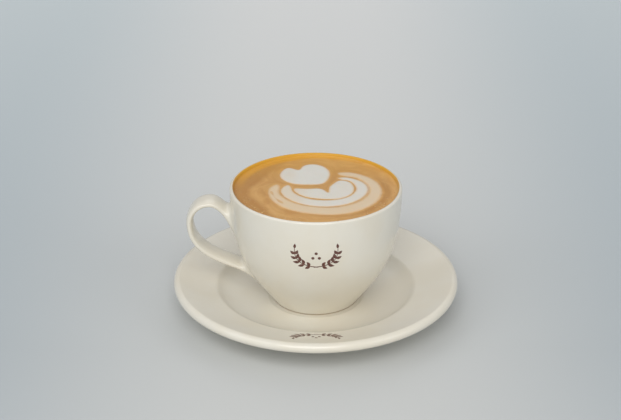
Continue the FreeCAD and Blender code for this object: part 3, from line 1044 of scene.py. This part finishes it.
# %% Print
ink_dark, ink_pale = tone(84, 46, 38), tone(120, 78, 64)
bough_poles = [(-0.05, -0.50), (0.30, -0.46), (0.50, -0.25), (0.48, 0.36)]
leaf_places, leaf_lengths, leaf_lean = (20, 36, 52, 68, 84), (3.1, 3.6, 3.7, 3.4, 3.0), 44
berry_places, berry_radius = ((0, 0.16), (-1.7, -0.06), (1.7, -0.06)), 0.85


def ink():
    """Brown ink, paler and duller where noise says that it is worn."""
    plain = {"Coat Weight": 0.4, "Coat Roughness": 0.06}
    finish, tree, place, surface = new_finish("sprig_ink", plain)
    worn = ramp(tree, noise(tree, place, 1500, 3, 0.7), 0.35, 0.75)
    colour = blended(tree, worn, ink_dark, ink_pale)
    dressed(tree, surface, colour, ramp(tree, worn, 0, 1, 0.22, 0.38), relief(tree, worn, 0.00002, 0.4))
    return finish


def sprig(width, height, middle):
    """Two mirrored boughs with leaves in pairs off a Bezier stem, and berries."""
    strokes = []
    bough = bezier(bough_poles, 100) * (width, height)
    for way in (1, -1):
        strokes.append((bough[::4] * (way, 1), np.linspace(0.32, 0.18, 26)))
        for n, length in zip(leaf_places, leaf_lengths):
            ahead = bough[n + 1] - bough[n]
            angle = math.degrees(math.atan2(ahead[1], ahead[0]))
            for side in (1, -1):
                tilt = angle + side * leaf_lean if way == 1 else 180 - angle - side * leaf_lean
                strokes.append(leaf(bough[n] * (way, 1), tilt, length, 1.7, 0.08 * way * side))
        strokes.append(leaf(bough[-1] * (way, 1), 90 + 6 * way, 3.0, 1.4, 0.0))
    strokes += [berry((s, h * height), berry_radius) for s, h in berry_places]
    return [(line + middle, half) for line, half in strokes]


sprig_ink = ink()
cup_strokes = sprig(24.0, 13.0, (0, 53.2))
saucer_strokes = sprig(24.0, 9.0, (0, -0.6))
piece("cup_sprig", [stroke(*s, on_cup) for s in cup_strokes], sprig_ink)
piece("saucer_sprig", [stroke(*s, on_flange) for s in saucer_strokes], sprig_ink)

# %% [markdown]
# ## The table
#
# The table is a pale matt board. Painted shade makes it darker and cooler
# at the sides and in front, and painted light makes it paler to the back. It
# is also the background, and is no part of the object.

# %% Table
# Painted shade at the sides and in front, painted light to the back
near_middle, near_side_shade = tone(206, 208, 207), tone(174, 184, 190)
far_middle_light, far_side_shade = tone(240, 242, 242), tone(217, 227, 231)
dust, board_half = tone(150, 155, 158), 3.0


def board():
    """Board paint with painted shade aside and in front, and painted light to the back."""
    finish, tree, place, surface = new_finish("pale_board", {})
    across, along, _ = coordinates(tree, place)
    aside = maths(tree, "ABSOLUTE", across)
    # Painted shade aside, and painted light to the back
    side = maths(tree, "MULTIPLY", ramp(tree, aside, 0.03, 0.24), ramp(tree, aside, 0.32, 1.0, 1.0, 0.35))
    far = add(tree, "ShaderNodeMapRange", along, -0.05, 0.60, 0.0, 1.0)
    near_paint = blended(tree, side, near_middle, near_side_shade)
    paint = blended(tree, far, near_paint, blended(tree, side, far_middle_light, far_side_shade))
    grain = maths(tree, "MULTIPLY", noise(tree, place, 800, 3), 0.05)
    tooth = relief(tree, noise(tree, place, 1500, 2), 0.00005, 0.2)
    dressed(tree, surface, blended(tree, grain, paint, dust), 0.75, tooth)
    return finish


mesh = bpy.data.meshes.new("table")
corners = np.array([(-1, -1, 0), (1, -1, 0), (1, 1, 0), (-1, 1, 0)]) * board_half
mesh.from_pydata(corners.tolist(), [], [(0, 1, 2, 3)])
mesh.materials.append(board())
table = linked("table", mesh)
table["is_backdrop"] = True
print("table of", 2 * board_half, "by", 2 * board_half, "m")

# %% [markdown]
# ## The light
#
# An even white tent fills every shadow. A large soft key lamp stands behind
# the camera, and three weak ones open up sides and back. All are square area
# lamps, aimed at the cup.

# %% Light
tent_strength, aim_height = 0.36, 0.03
world = bpy.data.worlds.new("tent")
bpy.context.scene.world = world
world.use_nodes = True
tent = world.node_tree.nodes["Background"]
tent.inputs[0].default_value = (1, 1, 1, 1)
tent.inputs[1].default_value = tent_strength


def soft_lamp(name, turn, rise, away, size, watts, colour=(1, 1, 1)):
    """Lamp at away (cos e sin t, -cos e cos t, sin e), t its turn and e its rise."""
    data = bpy.data.lights.new(name, "AREA")
    data.shape, data.size, data.energy, data.color = "SQUARE", size, watts, colour
    lamp = linked(name, data)
    t, e = math.radians(turn), math.radians(rise)
    level_reach, height = away * math.cos(e), away * math.sin(e)
    lamp.location = (level_reach * math.sin(t), -level_reach * math.cos(t), aim_height + height)
    lamp.rotation_euler = (math.pi / 2 - e, 0, t)


soft_lamp("key", -4, 40, 2.2, 1.6, 27.8, (1.0, 0.995, 0.985))
soft_lamp("left", -60, 40, 1.8, 1.1, 5.6)
soft_lamp("right", 60, 28, 1.8, 1.1, 4.2)
soft_lamp("behind", 180, 50, 1.8, 1.1, 2.6)

# %% [markdown]
# ## The camera
#
# It looks down by about 25 degrees through a long lens, from three quarters
# of a metre away.

# %% Camera
camera_place, camera_dip = (-0.00296, -0.6741, 0.3786), 25.3992
camera_data = bpy.data.cameras.new("camera")
camera_data.sensor_width = 36.0
camera_data.lens = 78.1623
camera_data.clip_end = 20.0
camera = linked("camera", camera_data)
camera.location = camera_place
camera.rotation_euler = (math.radians(90 - camera_dip), 0, 0)
bpy.context.scene.camera = camera
bpy.context.scene.view_settings.view_transform = "Standard"
print("lens of", round(camera_data.lens, 1), "mm, dip of", camera_dip, "degrees")

# %% [markdown]
# ## Sizes compared
#
# The visual pieces must fill the CAD model's box and no more. Both boxes are
# measured, and the largest difference between them is printed.

# %% Compare and finish
visual_box = [list(map(float, corner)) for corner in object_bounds()]
largest = abs(np.array(cad_box) - np.array(visual_box)).max() / MM
print("largest difference:", round(float(largest), 3), "mm")
